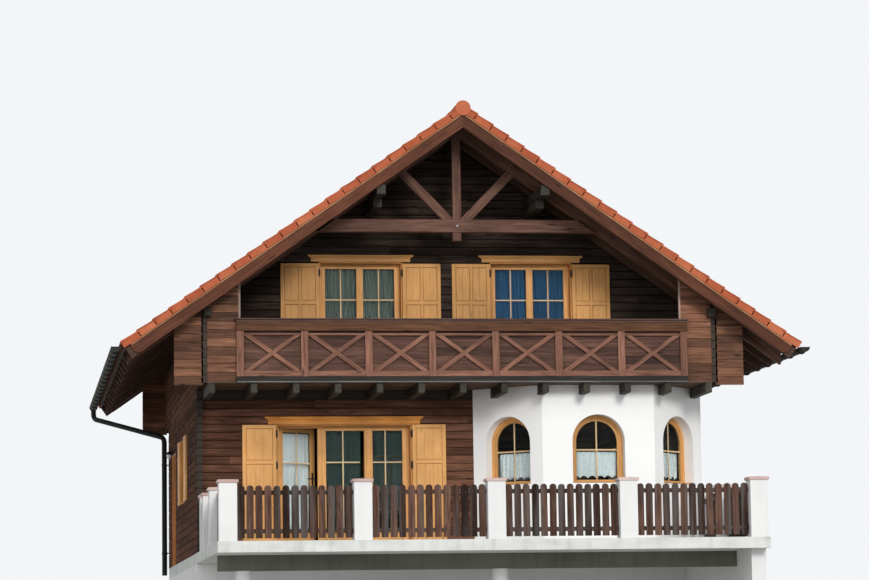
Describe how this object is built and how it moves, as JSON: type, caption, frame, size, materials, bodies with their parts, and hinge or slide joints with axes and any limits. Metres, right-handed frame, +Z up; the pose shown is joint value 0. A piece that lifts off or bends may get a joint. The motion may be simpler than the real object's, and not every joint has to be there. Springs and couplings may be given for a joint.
{
  "type": "alpine chalet",
  "caption": "Two-storey log chalet on a masonry basement with a railed terrace, an arched bay, braced balconies and a gable roof.",
  "frame": {"origin": "centre of the house plan at the underside of the basement", "axes": "+Z up, -Y towards the front with the terrace, +X to the right seen from the front"},
  "size_m": [12.23, 16.01, 10.272],
  "materials": {
    "concrete": "weathered",
    "render": "matt",
    "cap_clay": "matt",
    "pickets": "stained",
    "logs": "stained",
    "gable_logs": "stained",
    "floor_timber": "matt",
    "weathered_timber": "weathered",
    "balcony_boards": "stained",
    "roof_timber": "stained",
    "roof_clay": "matt",
    "gutter_metal": "satin",
    "pine": "varnished",
    "entrance_pine": "varnished",
    "window_glass": "clear",
    "handle_metal": "satin"
  },
  "bodies": {
    "house": {"basement_floor": "concrete", "basement_walls": "render", "ground_floor": "concrete", "terrace_slab": "concrete", "terrace_beam": "render", "terrace_columns": "render", "terrace_side_wall": "render", "terrace_posts": "render", "post_caps": "cap_clay", "fence_front": "pickets", "fence_sides": "pickets", "front_logs_left": "logs", "front_logs_right": "logs", "front_logs_over": "logs", "bay_wall": "render", "left_logs_front": "logs", "left_logs_rear": "logs", "left_logs_over": "logs", "right_logs": "logs", "rear_logs": "logs", "upper_floor": "floor_timber", "upper_side_logs": "logs", "gable_front": "gable_logs", "gable_rear": "gable_logs", "balcony_joists": "weathered_timber", "balcony_decks": "floor_timber", "balcony_rails": "balcony_boards", "wing_screens": "balcony_boards", "purlins": "weathered_timber", "gable_trusses": "roof_timber", "rafters": "roof_timber", "roof_deck": "floor_timber", "roof_tiles": "roof_clay", "barge_boards": "roof_timber", "rainwater": "gutter_metal", "door_frames": "pine", "frames": "pine", "glass": "window_glass", "shutters": "pine", "lintels": "pine"},
    "terrace_door": {"terrace_leaf": "pine", "terrace_leaf_glass": "window_glass", "terrace_handle": "handle_metal"},
    "entrance_door": {"entrance_leaf": "entrance_pine", "entrance_handle": "handle_metal"}
  },
  "joints": [
    {"name": "terrace_door_hinge", "type": "hinge", "parent": "house", "child": "terrace_door", "pos_m": [-3.106, -4.089, 2.5], "axis": [0, 0, 1], "range_deg": [-25, 65]},
    {"name": "entrance_door_hinge", "type": "hinge", "parent": "house", "child": "entrance_door", "pos_m": [-4.3, 3.103, 2.5], "axis": [0, 0, 1], "range_deg": [0, 90]}
  ]
}
